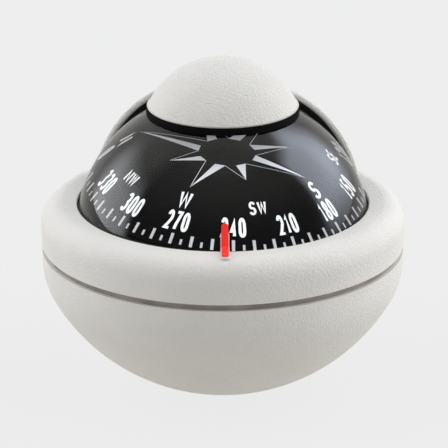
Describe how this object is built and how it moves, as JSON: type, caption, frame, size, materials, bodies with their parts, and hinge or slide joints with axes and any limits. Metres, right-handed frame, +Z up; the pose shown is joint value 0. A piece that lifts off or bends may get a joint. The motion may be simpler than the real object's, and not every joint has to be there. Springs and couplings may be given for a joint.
{
  "type": "marine compass",
  "caption": "Surface-mounted marine steering compass: white bowl and bezel, clear dome over a gimballed black card, red lubber line, and a turning sun shade with a round cap.",
  "frame": {"origin": "centre of the rubber foot, on the surface the compass stands on", "axes": "+Z up along the axis of bowl, dome and shade; -Y towards the helmsman, through the lubber line; +X to the helmsman's right"},
  "size_m": [0.088, 0.088, 0.0801],
  "materials": {
    "white_plastic": "satin, fine moulded texture",
    "black_plastic": "matte",
    "card_black": "matte, printed in white",
    "clear_dome": "clear polished acrylic",
    "red_plastic": "gloss",
    "rubber": "matte",
    "brass": "satin",
    "steel": "satin",
    "aluminium": "satin",
    "magnet": "plated",
    "jewel": "polished"
  },
  "bodies": {
    "case": {"bowl_shell": "white_plastic", "foot_pad": "rubber", "mount_insert": "brass", "lead_grommet": "rubber", "seam_gasket": "rubber", "bezel_ring": "white_plastic", "capsule_bowl": "black_plastic", "dome": "clear_dome", "dome_seal": "rubber", "clamping_ring": "aluminium", "capsule_screws": "steel", "expansion_diaphragm": "rubber", "diaphragm_retainer": "black_plastic", "diaphragm_screws": "steel", "fill_plug": "brass", "fill_plug_seal": "rubber", "gimbal_pins": "steel", "lubber_post": "white_plastic", "lubber_stripe": "red_plastic", "lamp_holder": "black_plastic", "lamp_led": "red_plastic", "compensator_tray": "black_plastic", "shade_stud": "black_plastic", "friction_washer": "black_plastic", "stud_screw": "steel"},
    "shade": {"shade_hood": "white_plastic", "hood_liner": "black_plastic", "shade_hub": "black_plastic", "shade_cap": "white_plastic", "cap_wiper": "rubber", "hood_screws": "steel"},
    "gimbal": {"gimbal_ring": "black_plastic", "cradle_pins": "steel"},
    "cradle": {"cradle_frame": "black_plastic", "ballast_weight": "brass", "pivot_post": "steel"},
    "card": {"compass_card": "card_black", "float_cup": "black_plastic", "float_lid": "black_plastic", "jewel_holder": "brass", "jewel_bearing": "jewel", "magnet_carrier": "aluminium", "card_magnets": "magnet"},
    "athwart_compensator": {"athwart_shaft": "brass", "athwart_magnet": "magnet"},
    "fore_aft_compensator": {"fore_aft_shaft": "brass", "fore_aft_magnet": "magnet"}
  },
  "joints": [
    {"name": "shade_turn", "type": "hinge", "parent": "case", "child": "shade", "pos_m": [0, 0, 0.074], "axis": [0, 0, 1], "continuous": true},
    {"name": "gimbal_pitch", "type": "hinge", "parent": "case", "child": "gimbal", "pos_m": [0, 0, 0.0355], "axis": [1, 0, 0], "range_deg": [-20, 20]},
    {"name": "gimbal_roll", "type": "hinge", "parent": "gimbal", "child": "cradle", "pos_m": [0, 0, 0.0355], "axis": [0, 1, 0], "range_deg": [-20, 20]},
    {"name": "card_spin", "type": "hinge", "parent": "cradle", "child": "card", "pos_m": [0, 0, 0.0389], "axis": [0.061, 0, 0.9981], "continuous": true},
    {"name": "athwart_adjust", "type": "hinge", "parent": "case", "child": "athwart_compensator", "pos_m": [0, 0.0085, 0.0054], "axis": [1, 0, 0], "continuous": true},
    {"name": "fore_aft_adjust", "type": "hinge", "parent": "case", "child": "fore_aft_compensator", "pos_m": [0.0085, 0, 0.0077], "axis": [0, 1, 0], "continuous": true}
  ]
}
